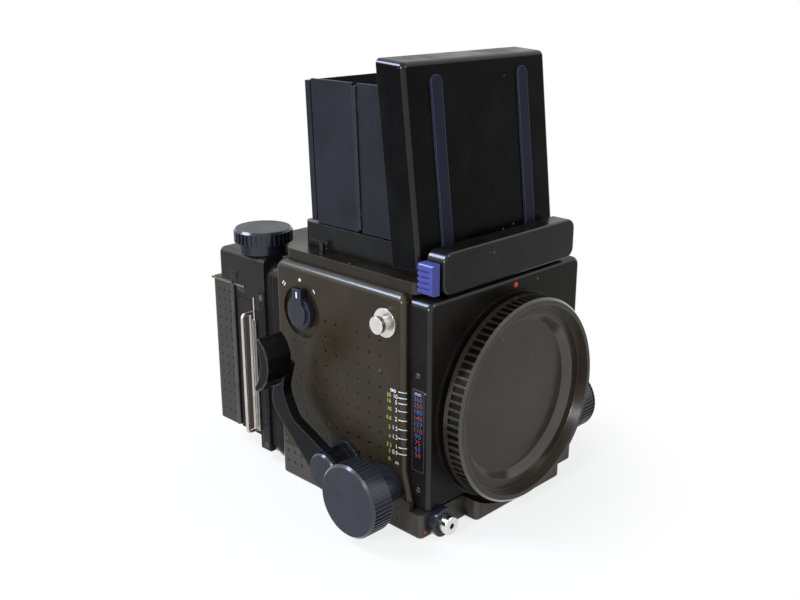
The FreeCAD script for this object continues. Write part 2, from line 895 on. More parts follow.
def base_cover():
    """The base with its front step, hollowed under the round lens mount."""
    body = new_body("base_cover")
    outline = box(-SIDE, -d.foot_reach, SIDE, d.rear_reach)
    pad(body, "XY", 0, d.seam_height, outline)
    corners = [
        edges_at("Z", x=side, y=place)
        for side in (-SIDE, SIDE)
        for place in (-d.foot_reach, d.rear_reach)
    ]
    round_off(body, d.cover_corner_radius, *corners)
    seat = box(-CORE_SIDE, -d.front_reach, CORE_SIDE, d.rear_reach)
    cut(body, "XY", d.floor_height, d.seam_height, seat)
    step_side = STANDARD_SIDE + d.standard_play
    front_step = box(-step_side, -d.foot_reach, step_side, -d.front_reach)
    cut(body, "XY", d.foot_height, d.seam_height, front_step)
    tip = box(-SIDE, -d.foot_reach, SIDE, -d.front_reach - d.cover_flare)
    cut(body, "XY", d.foot_height, d.seam_height, tip)
    cut(body, "XZ", -d.foot_reach, -d.front_reach, mount_channel())
    cut(body, "XZ", d.rear_reach - RING_SEAT_DEPTH, d.rear_reach, ring_seat())
    cut(body, "XY", 0, d.floor_height, circle(0, 0, d.tripod_bush_radius))
    battery = circle(d.battery_cover_offset, 0, d.battery_cover_radius)
    cut(body, "XY", 0, d.battery_cover_thickness, battery)
    bore_rear = (
        d.release_stem_length - d.release_button_reach + d.release_travel + d.release_overrun
    )
    bore_radius = d.release_button_radius + d.release_play
    stem_bore = circle(-d.release_offset, d.release_height, bore_radius)
    cut(body, "XZ", -d.foot_reach, bore_rear, stem_bore)
    round_off(body, d.base_edge_radius, edges_at("X", y=d.rear_reach, z=0))
    return body


def foot_nose():
    """The forward nose of the base, hollowed under the round lens mount."""
    body = new_body("foot_nose")
    sides = (-d.foot_nose_left, d.foot_nose_right)
    outline = box(sides[0], -d.foot_nose_reach, sides[1], -d.foot_reach)
    pad(body, "XY", 0, d.foot_height, outline)
    front_edges = [edges_at("Z", x=side, y=-d.foot_nose_reach) for side in sides]
    round_off(body, d.cover_corner_radius, *front_edges)
    cut(body, "XZ", -d.foot_nose_reach, -d.foot_reach, mount_channel())
    round_off(body, d.base_edge_radius, edges_at("X", y=-d.foot_nose_reach, z=0))
    return body


def tripod_socket():
    """The steel bush of the tripod socket, flush with the base."""
    body = new_body("tripod_socket")
    bush = circle(0, 0, d.tripod_bush_radius)
    pad(body, "XY", 0, d.floor_height, bush)
    cut(body, "XY", 0, d.tripod_bore_depth, circle(0, 0, d.tripod_bore_radius))
    return body


def battery_cover():
    """The coin-slotted disc over the battery room."""
    body = new_body("battery_cover", at=(d.battery_cover_offset, 0, 0))
    pad(body, "XY", 0, d.battery_cover_thickness, circle(0, 0, d.battery_cover_radius))
    half_width = d.battery_slot_width / 2
    half_length = d.battery_slot_length / 2
    coin_slot = box(-half_length, -half_width, half_length, half_width)
    cut(body, "XY", 0, d.battery_slot_depth, coin_slot)
    return body


def strap_lug(label, side):
    """A turned stud on a round flange that takes a strap end."""
    at = (SIDE * side, -d.lug_setback, d.lug_height)
    body = new_body(label, at=at, towards=(side, 0, 0))
    head_start = d.lug_stand_out - d.lug_head_thickness
    turn(
        body,
        [
            (0, 0),
            (d.lug_flange_radius, 0),
            (d.lug_flange_radius, d.lug_flange_thickness),
            (d.lug_neck_radius, d.lug_flange_thickness),
            (d.lug_neck_radius, head_start),
            (d.lug_head_radius, head_start),
            (d.lug_head_radius, d.lug_stand_out),
            (0, d.lug_stand_out),
        ],
    )
    return body


def accessory_shoe():
    """A folded plate with two inward lips on the side away from the lever."""
    body = new_body("accessory_shoe")
    half = d.shoe_width / 2
    inner = half - d.shoe_thickness
    lip = half - d.shoe_lip
    floor = SIDE + d.shoe_thickness
    roof = floor + d.shoe_gap
    top = roof + d.shoe_thickness
    profile = [
        (SIDE, -half),
        (top, -half),
        (top, -lip),
        (roof, -lip),
        (roof, -inner),
        (floor, -inner),
        (floor, inner),
        (roof, inner),
        (roof, lip),
        (top, lip),
        (top, half),
        (SIDE, half),
    ]
    pad(body, "XY", d.shoe_height, d.shoe_height + d.shoe_length, profile)
    return body


# Front standard, lens mount and cap


def front_standard():
    """The moving front plate: rounded edges, a round opening and the bellows' room."""
    body = new_body("front_standard")
    outline = box(-STANDARD_SIDE, d.standard_bottom, STANDARD_SIDE, d.standard_top)
    pad(body, "XZ", -STANDARD_FRONT, -STANDARD_REAR, outline)
    top_edges = [edges_at("Y", x=side, z=d.standard_top) for side in (-STANDARD_SIDE, STANDARD_SIDE)]
    round_off(body, d.standard_top_radius, *top_edges)

    def front_rim(edge):
        return abs(edge.BoundBox.YMin + STANDARD_FRONT.value) < 0.01 and (
            edge.BoundBox.YLength < 0.01 and edge.BoundBox.ZMax > d.standard_bottom.value + 1
        )

    round_off(body, d.standard_edge_radius, front_rim)
    opening = circle(0, d.axis_height, d.boss_body_radius + d.boss_fit)
    cut(body, "XZ", -STANDARD_FRONT, -STANDARD_REAR, opening)
    cut(body, "XZ", CAVITY_FRONT, -STANDARD_REAR, bellows_cavity())
    return body


def bellows_cavity():
    """The room behind the standard into which the bellows folds."""
    side = BELLOWS_SIDE + d.bellows_play
    return box(-side, BELLOWS_BOTTOM - d.bellows_play, side, BELLOWS_TOP + d.bellows_play)


def mount_boss():
    """The round boss set into the standard, which carries the lens mount."""
    body = new_body("mount_boss")
    neck = circle(0, d.axis_height, d.boss_body_radius)
    pad(body, "XZ", -BOSS_FRONT, -STANDARD_REAR, neck)
    flange = circle(0, d.axis_height, d.boss_radius)
    pad(body, "XZ", -BOSS_FRONT, -STANDARD_FRONT, flange)
    cut(body, "XZ", CAVITY_FRONT, -STANDARD_REAR, bellows_cavity())
    throat = circle(0, d.axis_height, d.throat_radius)
    cut(body, "XZ", -BOSS_FRONT, -STANDARD_REAR, throat)
    seat = circle(0, d.axis_height, d.mount_radius)
    cut(body, "XZ", -BOSS_FRONT, d.mount_seat_depth - STANDARD_FRONT, seat)
    return body


def mount_ring():
    """The steel bayonet ring in the boss, with its three lug gaps."""
    at = (0, -MOUNT_FRONT, d.axis_height)
    body = new_body("mount_ring", at=at, towards=(0, 1, 0))
    depth = d.mount_stand_out + d.mount_seat_depth
    pad(body, "XY", 0, depth, circle(0, 0, d.mount_radius), circle(0, 0, d.throat_radius))
    gap_half = d.mount_gap_width / 2
    gap_outer = d.throat_radius + d.mount_gap_depth
    gap = cut(body, "XY", 0, depth / 2, box(0, -gap_half, gap_outer, gap_half))
    repeat_around(body, gap, d.mount_gap_count)
    return body


def body_cap():
    """The knurled cap over the lens mount, dished in two steps down to a flat disc."""
    at = (0, -d.cap_rear_reach, d.axis_height)
    body = new_body("body_cap", at=at, towards=(0, -1, 0))
    depth = d.cap_front_reach - d.cap_rear_reach
    floor_rear = MOUNT_FRONT + d.cap_play - d.cap_rear_reach
    floor_front = floor_rear + d.cap_floor_thickness
    step = d.cap_step_reach - d.cap_rear_reach
    rim_inner = d.cap_radius - d.cap_rim_width
    skirt_inner = d.cap_step_radius - d.cap_floor_thickness
    collar = d.throat_radius - d.cap_collar_play
    collar_inner = collar - d.cap_collar_wall
    collar_end = floor_rear - d.cap_collar_depth
    turn(
        body,
        [
            (0, floor_rear),
            (collar_inner, floor_rear),
            (collar_inner, collar_end),
            (collar, collar_end),
            (collar, floor_rear),
            (skirt_inner, floor_rear),
            (skirt_inner, 0),
            (d.cap_radius, 0),
            (d.cap_radius, depth - d.cap_chamfer),
            (d.cap_radius - d.cap_chamfer, depth),
            (rim_inner, depth),
            (d.cap_step_radius, step),
            (d.cap_step_radius - d.cap_step_width, step),
            (d.cap_disc_radius, floor_front),
            (0, floor_front),
        ],
    )
    half = d.cap_knurl_width / 2
    groove_outline = box(
        d.cap_radius - d.cap_knurl_depth, -half, d.cap_radius + d.cap_knurl_depth, half
    )
    groove = cut(body, "XY", d.cap_knurl_start, depth - d.cap_chamfer, groove_outline)
    repeat_around(body, groove, d.cap_knurl_count)
    return body


# Bellows and focusing drive


def bellows():
    """The pleated bellows, pressed together between the body and the standard."""
    rear = d.bellows_recess - d.front_reach
    front = CAVITY_FRONT
    body = new_body("bellows")
    pleats = int(d.bellows_pleats.value)
    pitch = (rear - front) / pleats
    for number in range(pleats):
        start = front + pitch * number
        middle = start + pitch / 2
        for low, high, drawn_in in (
            (start, middle, 0),
            (middle, start + pitch, d.bellows_fold - d.bellows_wall * 2),
        ):
            side = BELLOWS_SIDE - drawn_in
            top = BELLOWS_TOP - drawn_in
            bottom = BELLOWS_BOTTOM + drawn_in
            inner_side = BELLOWS_SIDE - d.bellows_fold
            inner_top = BELLOWS_TOP - d.bellows_fold
            inner_bottom = BELLOWS_BOTTOM + d.bellows_fold
            pad(
                body,
                "XZ",
                low,
                high,
                box(-side, bottom, side, top),
                box(-inner_side, inner_bottom, inner_side, inner_top),
            )
    return body


# Shares of the tooth pitch that the gaps between rack and pinion teeth take
RACK_GAP_MOUTH = 0.62
RACK_GAP_SLOPE = 0.12
RACK_GAP_START = 1.81
PINION_GAP_MOUTH = 0.84
PINION_GAP_FLOOR = 0.34


def focus_rack(label, side):
    """A toothed bar that carries the front standard on one side."""
    body = new_body(label)
    middle = d.rack_offset * side
    half = d.rack_width / 2
    front = -STANDARD_REAR
    pad(body, "XZ", front, RACK_REAR, box(middle - half, RACK_BOTTOM, middle + half, RACK_TOP))
    pitch = TOOTH_PITCH
    gap_start = SHAFT_Y - pitch * RACK_GAP_START
    gap_end = gap_start + pitch * RACK_GAP_MOUTH
    slope = pitch * RACK_GAP_SLOPE
    gap = [
        (gap_start, RACK_BOTTOM),
        (gap_end, RACK_BOTTOM),
        (gap_end - slope, RACK_BOTTOM + d.tooth_depth),
        (gap_start + slope, RACK_BOTTOM + d.tooth_depth),
    ]
    tooth_gap = cut(body, "YZ", middle - half, middle + half, gap)
    count = math.ceil((RACK_REAR - gap_start).value / pitch.value)
    repeat_along(body, tooth_gap, "Y", pitch * (count - 1), count)
    return body


def focus_pinion(label, side):
    """A spur pinion on the focusing shaft under its rack."""
    start = d.rack_offset * side - d.rack_width / 2
    at = (start, SHAFT_Y, d.focus_shaft_height)
    body = new_body(label, at=at, towards=(1, 0, 0))
    root = d.pinion_radius - d.tooth_depth - d.tooth_play
    tip = d.pinion_radius - d.tooth_play
    outline = circle(0, 0, tip)
    pad(body, "XY", 0, d.rack_width, outline, circle(0, 0, d.focus_shaft_radius))
    mouth = TOOTH_PITCH * PINION_GAP_MOUTH / 2
    bottom = TOOTH_PITCH * PINION_GAP_FLOOR / 2
    beyond = tip + d.tooth_play * 2
    gap_outline = [(root, -bottom), (beyond, -mouth), (beyond, mouth), (root, bottom)]
    gap = cut(body, "XY", 0, d.rack_width, gap_outline)
    repeat_around(body, gap, d.pinion_teeth)
    return body


def focus_shaft():
    """The cross shaft that joins both focusing knobs."""
    reach = d.focus_knob_reach - d.focus_knob_cover
    at = (-reach, SHAFT_Y, d.focus_shaft_height)
    body = new_body("focus_shaft", at=at, towards=(1, 0, 0))
    pad(body, "XY", 0, reach * 2, circle(0, 0, d.focus_shaft_radius))
    return body


def knurl(body, radius, low, high, width, depth, count):
    """Cuts straight grip grooves round a knob."""
    outline = box(radius - depth, -width / 2, radius + depth, width / 2)
    groove = cut(body, "XY", low, high, outline)
    repeat_around(body, groove, count)


def focus_knob(label, side):
    """A large focusing knob: necked hub, knurled rim and a chamfered flat face."""
    root = SIDE + d.knob_gap
    at = (root * side, SHAFT_Y, d.focus_shaft_height)
    body = new_body(label, at=at, towards=(side, 0, 0))
    depth = d.focus_knob_reach - root
    grip = depth - d.focus_knob_grip
    bore = d.focus_shaft_radius
    bore_end = depth - d.focus_knob_cover
    chamfer = d.knob_chamfer
    turn(
        body,
        [
            (bore, 0),
            (d.focus_knob_neck_radius, 0),
            (d.focus_knob_neck_radius, grip),
            (d.focus_knob_radius, grip),
            (d.focus_knob_radius, depth - chamfer),
            (d.focus_knob_radius - chamfer, depth),
            (0, depth),
            (0, bore_end),
            (bore, bore_end),
        ],
    )
    knurl(
        body,
        d.focus_knob_radius,
        grip,
        depth - chamfer,
        d.knob_knurl_width,
        d.knob_knurl_depth,
        d.focus_knurl_count,
    )
    return body


# Cocking lever


def lever_pivot():
    """The round flange and pin on which the cocking lever swings."""
    at = (-SIDE, LEVER_Y, d.lever_height)
    body = new_body("lever_pivot", at=at, towards=(-1, 0, 0))
    pin_end = d.lever_flange_thickness + d.lever_gap + d.lever_hub_width
    turn(
        body,
        [
            (0, -d.lever_pin_depth),
            (d.lever_pin_radius, -d.lever_pin_depth),
            (d.lever_pin_radius, 0),
            (d.lever_flange_radius, 0),
            (d.lever_flange_radius, d.lever_flange_thickness),
            (d.lever_pin_radius, d.lever_flange_thickness),
            (d.lever_pin_radius, pin_end),
            (0, pin_end),
        ],
    )
    return body


def station_end(rear, rise, half_width, tilt, side):
    """One end of the line that crosses the lever's arm at a station."""
    return rear + half_width * cosine(tilt) * side, rise + half_width * sine(tilt) * side


def paddle_outline():
    """The thumb paddle's section: a bent plate, thickest in its middle."""
    steps = 3
    front_face, rear_face = [], []
    for step in range(-steps, steps + 1):
        share = step / steps
        angle = d.paddle_tilt + d.paddle_sweep * share
        swell = (d.paddle_half_thickness - d.paddle_tip_half_thickness) * (1 - share * share)
        half = d.paddle_tip_half_thickness + swell
        for face, radius in (
            (front_face, d.paddle_bend_radius + half),
            (rear_face, d.paddle_bend_radius - half),
        ):
            rear = d.paddle_centre_rear - radius * cosine(angle)
            rise = d.paddle_centre_rise + radius * sine(angle)
            face.append((rear, rise))
    return front_face + rear_face[::-1]


def cocking_lever():
    """The swept arm and wide thumb paddle that cock the shutter and wind the film."""
    body = new_body("cocking_lever", at=(0, LEVER_Y, d.lever_height))
    hub_inner = LEVER_HUB_END + d.lever_hub_width
    pad(body, "YZ", LEVER_HUB_END, hub_inner, circle(0, 0, d.lever_hub_radius))
    root = (0, 0, d.lever_root_half_width, d.lever_root_tilt)
    elbow = (d.lever_elbow_rear, d.lever_elbow_rise, d.lever_elbow_half_width, d.lever_elbow_tilt)
    neck = (d.lever_neck_rear, d.lever_neck_rise, d.lever_neck_half_width, d.lever_neck_tilt)
    tip = (d.lever_tip_rear, d.lever_tip_rise, d.lever_tip_half_width, d.lever_tip_tilt)
    stations = (root, elbow, neck, tip)
    front_edge = [station_end(*station, side=-1) for station in stations]
    rear_edge = [station_end(*station, side=1) for station in stations]
    arm = front_edge + rear_edge[::-1]
    pad(body, "YZ", LEVER_HUB_END, LEVER_HUB_END + d.lever_arm_thickness, arm)
    bends = [
        edges_at("X", y=place[0], z=place[1]) for place in (front_edge[1], front_edge[2], rear_edge[1])
    ]
    round_off(body, d.lever_arm_bend, *bends)
    pad(body, "YZ", -d.paddle_outer, -d.paddle_inner, paddle_outline())
    outer_x = -d.paddle_outer.value

    def paddle_end(edge):
        bounds = edge.BoundBox
        return bounds.XLength < 0.01 and abs(bounds.XMin - outer_x) < 0.01

    round_off(body, d.lever_edge_radius, paddle_end)
    bore = circle(0, 0, d.lever_pin_radius + SHAFT_PLAY)
    cut(body, "YZ", LEVER_HUB_END, hub_inner, bore)
    return body


def lever_cap():
    """The domed disc that closes the lever's hub."""
    body = new_body("lever_cap", at=(LEVER_HUB_END, LEVER_Y, d.lever_height), towards=(-1, 0, 0))
    chamfer = d.lever_cap_chamfer
    turn(
        body,
        [
            (0, 0),
            (d.lever_hub_radius, 0),
            (d.lever_hub_radius, d.lever_cap_thickness - chamfer),
            (d.lever_hub_radius - chamfer, d.lever_cap_thickness),
            (0, d.lever_cap_thickness),
        ],
    )
    return body


# Mode selector, shutter dial and release


def mode_selector():
    """The selector: a disc in its recess with a raised hub and an upright handle."""
    floor = SIDE - d.selector_recess_depth
    at = (-floor, d.selector_forward, d.selector_height)
    body = new_body("mode_selector", at=at, towards=(-1, 0, 0))
    gap = d.selector_gap
    disc_top = gap + d.selector_disc_thickness
    hub_top = disc_top + d.selector_hub_rise
    turn(
        body,
        [
            (0, -d.spindle_depth),
            (d.spindle_radius, -d.spindle_depth),
            (d.spindle_radius, gap),
            (d.selector_disc_radius, gap),
            (d.selector_disc_radius, disc_top),
            (d.selector_hub_radius, disc_top),
            (d.selector_hub_radius, hub_top),
            (0, hub_top),
        ],
    )
    half = d.selector_handle_width / 2
    handle = box(0, -half, d.selector_handle_length, half)
    pad(body, "XY", d.selector_recess_depth + gap, hub_top, handle)
    return body


def shutter_dial():
    """The speed dial on the other side, a knurled drum on a spindle."""
    at = (SIDE, d.dial_forward, d.dial_height)
    body = new_body("shutter_dial", at=at, towards=(1, 0, 0))
    gap = d.knob_gap
    chamfer = d.dial_chamfer
    top = gap + d.dial_thickness
    turn(
        body,
        [
            (0, -d.spindle_depth),
            (d.spindle_radius, -d.spindle_depth),
            (d.spindle_radius, gap),
            (d.dial_radius, gap),
            (d.dial_radius, top - chamfer),
            (d.dial_radius - chamfer, top),
            (0, top),
        ],
    )
    knurl(
        body,
        d.dial_radius,
        gap,
        top - chamfer,
        d.knob_knurl_width,
        d.knob_knurl_depth,
        d.dial_knurl_count,
    )
    return body


def release_collar():
    """The lock ring round the shutter release."""
    at = (-d.release_offset, -d.foot_reach, d.release_height)
    body = new_body("release_collar", at=at, towards=(0, -1, 0))
    depth = d.release_collar_reach - d.foot_reach
    hole = circle(0, 0, d.release_button_radius + d.release_collar_play)
    rim = circle(0, 0, d.release_collar_radius)
    pad(body, "XY", d.release_collar_gap, depth, rim, hole)
    return body


def release_button():
    """The silver release button with its cable socket."""
    at = (-d.release_offset, -d.release_button_reach, d.release_height)
    body = new_body("release_button", at=at, towards=(0, 1, 0))
    chamfer = d.release_button_chamfer
    turn(
        body,
        [
            (d.cable_socket_radius, 0),
            (d.release_button_radius - chamfer, 0),
            (d.release_button_radius, chamfer),
            (d.release_button_radius, d.release_stem_length),
            (0, d.release_stem_length),
            (0, d.cable_socket_depth),
            (d.cable_socket_radius, d.cable_socket_depth),
        ],
    )
    return body


# Finder base, screen and name housing


def finder_plate():
    """The plate on top of the body that carries the hood and holds the screen."""
    body = new_body("finder_plate")
    half = d.finder_plate_width / 2
    outline = box(-half, -d.finder_plate_reach, half, d.finder_plate_rear)
    window = box(-d.screen_half_width, -d.screen_front, d.screen_half_width, d.screen_rear)
    pad(body, "XY", d.body_height, FINDER_TOP, outline, window)
    corners = [
        edges_at("Z", x=side, y=place)
        for side in (-half, half)
        for place in (-d.finder_plate_reach, d.finder_plate_rear)
    ]
    round_off(body, d.finder_plate_corner_radius, *corners)
    margin = d.screen_margin
    seat = box(
        -d.screen_half_width - margin,
        -d.screen_front - margin,
        d.screen_half_width + margin,
        d.screen_rear + margin,
    )
    seat_top = d.body_height + d.screen_thickness + d.screen_play
    cut(body, "XY", d.body_height, seat_top, seat)
    stop_pin = circle(-d.stop_pin_offset, d.stop_pin_setback, d.stop_pin_radius)
    pad(body, "XY", FINDER_TOP, FINDER_TOP + d.stop_pin_height, stop_pin)
    return body


def focusing_screen():
    """The ground screen on the body's top window."""
    body = new_body("focusing_screen")
    margin = d.screen_margin - d.screen_side_play
    outline = box(
        -d.screen_half_width - margin,
        -d.screen_front - margin,
        d.screen_half_width + margin,
        d.screen_rear + margin,
    )
    pad(body, "XY", d.body_height, d.body_height + d.screen_thickness, outline)
    return body


def finder_stem(play):
    """The round of the finder button's stem, widened by the play of its bore."""
    y = -d.finder_plate_reach - d.finder_button_depth / 2
    height = d.finder_button_bottom + d.finder_button_height / 2
    return circle(y, height, d.finder_stem_radius + play)


def name_housing():
    """The overhanging front housing, a rounded bar in front of the hood."""
    body = new_body("name_housing")
    half = d.housing_half_width
    front = -d.housing_reach
    step = -d.finder_plate_reach
    outline = box(-half, d.housing_bottom, half, d.housing_top)
    pad(body, "XZ", front, step, outline)
    corners = [
        edges_at("Y", x=side, z=height)
        for side in (-half, half)
        for height in (d.housing_bottom, d.housing_top)
    ]
    round_off(body, d.housing_corner_radius, *corners)

    def front_rim(edge):
        bounds = edge.BoundBox
        return bounds.YLength < 0.01 and abs(bounds.YMin - front.value) < 0.01

    round_off(body, d.housing_edge_radius, front_rim)
    inset = half - d.housing_corner_radius
    top = d.housing_top - d.housing_tongue_drop
    pad(body, "XZ", step, -d.housing_rear, box(-inset, FINDER_TOP, inset, top))
    bore_end = FINDER_STEM_END + d.finder_stem_end_play
    cut(body, "YZ", -half, bore_end, finder_stem(d.finder_stem_play))
    return body


# Share of the pitch of the finder button's ribs that each groove takes
GROOVE_SHARE = 0.4


def finder_release_button():
    """The ribbed button at the housing's end that frees the finder."""
    body = new_body("finder_release_button")
    inner = -d.housing_half_width - d.finder_button_gap
    outer = inner - d.finder_button_width
    rear = -d.finder_plate_reach - d.finder_button_setback
    front = rear - d.finder_button_depth
    bottom = d.finder_button_bottom
    top = bottom + d.finder_button_height
    pad(body, "XZ", front, rear, box(outer, bottom, inner, top))
    ends = [edges_at("Y", x=outer, z=height) for height in (bottom, top)]
    round_off(body, d.finder_button_corner_radius, *ends)
    grooves = int(d.finder_groove_count.value)
    pitch = d.finder_button_height / (grooves + 1.5)
    groove_end = front + d.finder_groove_margin
    for number in range(grooves):
        low = bottom + pitch * (number + 1)
        groove = box(groove_end, low, rear, low + pitch * GROOVE_SHARE)
        cut(body, "YZ", outer, outer + d.finder_groove_depth, groove)
    pad(body, "YZ", inner, FINDER_STEM_END, finder_stem(0))
    return body


# Hood


def hood_base():
    """The low frame on which the hood stands, cut under its edge by a groove."""
    body = new_body("hood_base")
    half = d.hood_base_half_width
    outline = box(-half, -d.hood_base_front, half, d.hood_base_rear)
    opening_half = d.hood_opening_half_width
    opening = box(-opening_half, -d.hood_opening_front, opening_half, d.hood_opening_rear)
    pad(body, "XY", FINDER_TOP, d.hood_base_top, outline, opening)
    corners = [edges_at("Z", x=side, y=d.hood_base_rear) for side in (-half, half)]
    round_off(body, d.hood_base_corner_radius, *corners)
    for side in (-1, 1):
        outer = half * side
        inner = (half - d.hood_base_groove_depth) * side
        low, high = (outer, inner) if side < 0 else (inner, outer)
        groove = box(low, -d.hood_base_front, high, d.hood_base_rear)
        cut(body, "XY", FINDER_TOP, FINDER_TOP + d.hood_base_groove, groove)
    pin_y, pin_z = lid_pin_place()
    pin_bore = circle(pin_y, pin_z, d.lid_pin_radius)
    cut(body, "YZ", -half, half, pin_bore)
    return body


def lid_place(out, along):
    """A point of the leaning lid: so far behind its front face, so far up it."""
    y = out * cosine(d.lid_lean) + along * sine(d.lid_lean) - d.lid_foot_reach
    z = d.lid_foot_height + along * cosine(d.lid_lean) - out * sine(d.lid_lean)
    return y, z


def lid_pin_place():
    """Where the lid's cross pins pass through the hood's base."""
    return lid_place(as_size(d.lid_pin_inset), as_size(d.lid_pin_rise))


def hood_lid():
    """The cover, standing open: a shallow tray with rounded edges and two long ribs."""
    at = (0, -d.lid_foot_reach, d.lid_foot_height)
    body = new_body("hood_lid", at=at, lean=d.lid_lean)
    half = d.lid_half_width
    rear_top = d.lid_length + d.lid_top_rise
    profile = [(0, 0), (d.lid_depth, 0), (d.lid_depth, rear_top), (0, d.lid_length)]
    pad(body, "YZ", -half, half, profile)
    front_edges = [edges_at("Z", x=side, y=0) for side in (-half, half)]
    top_edge = edges_at("X", y=0, z=d.lid_length)

    def top_corner(edge):
        middle = edge.CenterOfMass
        high = middle.z > d.lid_length.value - 0.1
        return high and abs(abs(middle.x) - half.value) < 0.02 and edge.BoundBox.YLength > 1

    round_off(body, d.lid_edge_radius, *front_edges, top_edge, top_corner)
    inner = half - d.lid_wall
    cavity = [
        (d.lid_wall, 0),
        (d.lid_depth, 0),
        (d.lid_depth, rear_top - d.lid_wall),
        (d.lid_wall, d.lid_length - d.lid_wall),
    ]
    cut(body, "YZ", -inner, inner, cavity)
    low = d.lid_rib_bottom + d.lid_rib_width / 2
    high = d.lid_length - d.lid_rib_margin - d.lid_rib_width / 2
    for side in (-1, 1):
        rib = slot(d.lid_rib_offset * side, low, high, d.lid_rib_width)
        pad(body, "XZ", -d.lid_rib_rise, 0, rib)
    pin_end = circle(d.lid_pin_inset, d.lid_pin_rise, d.lid_pin_radius)
    pad(body, "YZ", -half, -d.hood_opening_half_width, pin_end)
    pad(body, "YZ", d.hood_opening_half_width, half, pin_end)
    ear_inner = d.magnifier_half_width + d.magnifier_stand_off
    ear_outer = ear_inner + d.magnifier_ear_width
    axis_out = MAGNIFIER_AXIS
    ear_low = MAGNIFIER_HEIGHT - d.magnifier_barrel_radius
    ear_high = MAGNIFIER_HEIGHT + d.magnifier_barrel_radius
    ear_rear = axis_out + d.magnifier_barrel_radius
    ear = box(d.lid_wall, ear_low, ear_rear, ear_high)
    ear_bore = circle(axis_out, MAGNIFIER_HEIGHT, d.hinge_pin_radius + SHAFT_PLAY)
    for low, high in ((-ear_outer, -ear_inner), (ear_inner, ear_outer)):
        pad(body, "YZ", low, high, ear)
        cut(body, "YZ", low, high, ear_bore)
    return body


def knuckle_spans(top, front_half):
    """The stretches of the hinge line that each leaf's knuckles take."""
    play = d.wall_gap / 2
    lower = d.knuckle_inset
    upper = top - d.knuckle_inset
    half = d.knuckle_length / 2
    if front_half:
        return [(lower - half, lower + half), (upper - half, upper + half)]
    return [
        (d.hinge_barrel_radius, lower - half - play),
        (lower + half + play, upper - half - play),
        (upper + half + play, top - d.hinge_barrel_radius),
    ]


def wall_half(label, side, front_half):
    """One leaf of a folding side wall, with its share of the middle hinge's knuckles."""
    face = d.wall_face * side
    body = new_body(label, at=(face, WALL_MIDDLE, d.wall_bottom), lean=d.wall_lean)
    length = WALL_REACH - d.wall_gap
    if front_half:
        start, end = -length, -d.wall_gap - d.hinge_barrel_radius
    else:
        start, end = d.wall_gap + d.hinge_barrel_radius, length
    rise = tangent(d.wall_lean)
    top = WALL_HEIGHT / cosine(d.wall_lean)
    outline = [
        (start, start * rise),
        (end, end * rise),
        (end, top + end * rise),
        (start, top + start * rise),
    ]
    sheet_inner = -d.wall_sheet * side
    low, high = (sheet_inner, 0) if side > 0 else (0, sheet_inner)
    pad(body, "YZ", low, high, outline)
    barrel = circle(0, 0, d.hinge_barrel_radius)
    bore = circle(0, 0, d.hinge_pin_radius + SHAFT_PLAY)
    web_end = -d.hinge_barrel_radius if front_half else d.hinge_barrel_radius
    if front_half:
        near, far = end - d.knuckle_web, web_end / 2
    else:
        near, far = web_end / 2, start + d.knuckle_web
    inner_edge = -d.wall_sheet * side
    web = box(min_size(0, inner_edge), near, max_size(0, inner_edge), far)
    for start_height, end_height in knuckle_spans(top, front_half):
        pad(body, "XY", start_height, end_height, barrel)
        pad(body, "XY", start_height, end_height, web)
    cut(body, "XY", 0, top, bore)
    return body


def wall_hinge(label, side):
    """The pin of a side wall's middle hinge."""
    at = (d.wall_face * side, WALL_MIDDLE, d.wall_bottom)
    body = new_body(label, at=at, lean=d.wall_lean)
    top = WALL_HEIGHT / cosine(d.wall_lean)
    margin = d.hinge_barrel_radius
    pad(body, "XY", margin, top - margin, circle(0, 0, d.hinge_pin_radius))
    return body


def hood_post(label, side):
    """The leaning rod at a side wall's front edge, standing on the hood's base."""
    at = (WALL_AXIS_X * side, d.front_hinge_y, d.wall_bottom)
    body = new_body(label, at=at, lean=d.wall_lean)
    foot = d.hood_base_top - d.wall_bottom + d.post_radius * tangent(d.wall_lean)
    top = WALL_HEIGHT / cosine(d.wall_lean)
    pad(body, "XY", foot, top, circle(0, 0, d.post_radius))
    return body


def hood_rear_panel():
    """The rear wall of the hood, with a narrow flange along each side."""
    at = (0, d.rear_hinge_y, d.wall_bottom)
    body = new_body("hood_rear_panel", at=at, lean=d.wall_lean)
    rise = tangent(d.wall_lean)
    rear = d.rear_panel_offset
    front = rear - d.wall_sheet
    top = WALL_HEIGHT / cosine(d.wall_lean) - d.rear_panel_drop
    bottom_rear = rear * rise + d.wall_gap
    half = d.wall_face + d.rear_panel_overlap
    outline = [(front, bottom_rear), (rear, bottom_rear), (rear, top), (front, top)]
    pad(body, "YZ", -half, half, outline)
    flange = [
        (d.wall_gap, bottom_rear),
        (front, bottom_rear),
        (front, top),
        (d.wall_gap, top),
    ]
    inner = half - d.wall_sheet
    pad(body, "YZ", -half, -inner, flange)
    pad(body, "YZ", inner, half, flange)
    corners = [edges_at("Z", x=side, y=rear) for side in (-half, half)]
    round_off(body, d.wall_sheet, *corners)
    post_low = bottom_rear + d.post_radius
    post_high = top - d.post_radius
    for side in (-1, 1):
        x = WALL_AXIS_X * side
        pad(body, "XY", post_low, post_high, circle(x, 0, d.post_radius))
        lug = box(x - d.post_radius, 0, x + d.post_radius, front)
        for low, high in (
            (post_low, post_low + d.knuckle_length),
            (post_high - d.knuckle_length, post_high),
        ):
            pad(body, "XY", low, high, lug)
    return body


